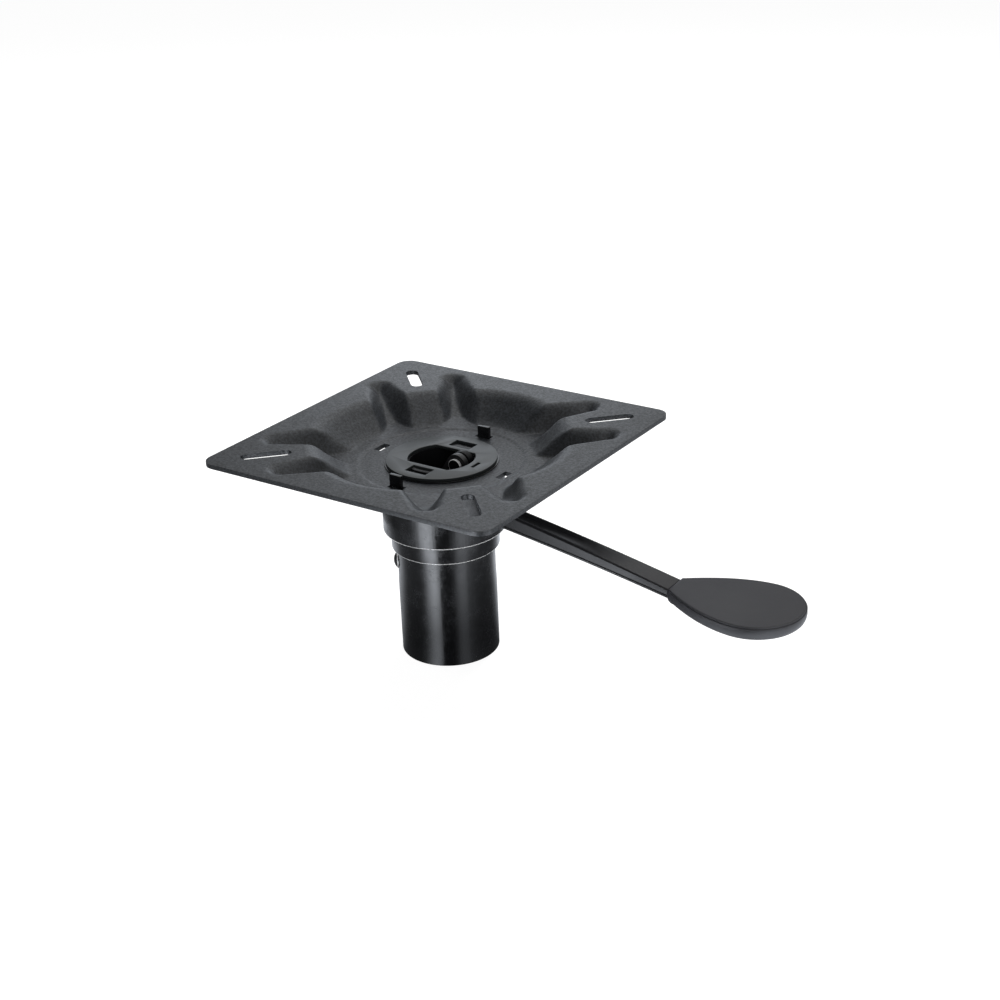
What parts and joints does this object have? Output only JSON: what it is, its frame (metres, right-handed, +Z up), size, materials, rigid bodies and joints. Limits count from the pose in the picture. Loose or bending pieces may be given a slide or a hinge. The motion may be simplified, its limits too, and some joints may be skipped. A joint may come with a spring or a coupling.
{
  "type": "swivel seat base",
  "caption": "Square pressed seat plate on a swivelling collar and round post insert, with a side lever whose flat paddle releases the brake.",
  "frame": {"origin": "centre of the lower end of the round insert tube", "axes": "+Z up along the swivel axis, +X along the lever towards its paddle, +Y along the plate's side"},
  "size_m": [0.302, 0.18, 0.1245],
  "materials": {
    "powder_coat": "fine textured",
    "gloss_coat": "gloss",
    "satin_coat": "satin",
    "moulded_plastic": "matt",
    "nylon": "satin",
    "black_phosphate": "phosphated and oiled",
    "zinc_steel": "zinc plated",
    "spring_steel": "oiled",
    "bronze": "satin"
  },
  "bodies": {
    "post": {"insert_tube": "gloss_coat", "stop_ring": "gloss_coat", "upper_bushing": "nylon", "lower_bushing": "nylon"},
    "snap": {"snap_button": "black_phosphate", "snap_leaf": "spring_steel"},
    "head": {"seat_plate": "powder_coat", "hub_washer": "gloss_coat", "hub_disc": "satin_coat", "collar": "gloss_coat", "spindle": "gloss_coat", "thrust_ring": "zinc_steel", "pivot_bracket": "black_phosphate", "pivot_pin": "black_phosphate", "pivot_spacer": "black_phosphate", "pin_clip": "spring_steel", "retaining_washer": "zinc_steel", "circlip": "spring_steel", "brake_collet": "bronze", "return_spring": "spring_steel"},
    "lever": {"lever_arm": "satin_coat", "lever_paddle": "moulded_plastic"},
    "brake_rod": {"draw_rod": "zinc_steel", "brake_cone": "zinc_steel", "cone_washer": "zinc_steel", "cone_nut": "zinc_steel"}
  },
  "joints": [
    {"name": "seat_swivel", "type": "hinge", "parent": "post", "child": "head", "pos_m": [0, 0, 0.07], "axis": [0, 0, 1], "continuous": true},
    {"name": "lever_lift", "type": "hinge", "parent": "head", "child": "lever", "pos_m": [0.0082, 0, 0.1088], "axis": [0, -1, 0], "range_deg": [0, 12], "stiffness_Nm_per_rad": 1.2, "springref_deg": -20.05},
    {"name": "brake_release", "type": "slide", "parent": "head", "child": "brake_rod", "axis": [0, 0, 1], "range_m": [-0.0018, 0], "deforming": ["return_spring"]},
    {"name": "snap_press", "type": "slide", "parent": "post", "child": "snap", "axis": [0.7804, 0.6252, 0], "range_m": [0, 0.002], "stiffness_N_per_m": 1500, "springref_m": -0.004}
  ],
  "couplings": [
    {"joint": "brake_release", "follows": "lever_lift", "m_per_rad": -0.0077}
  ]
}
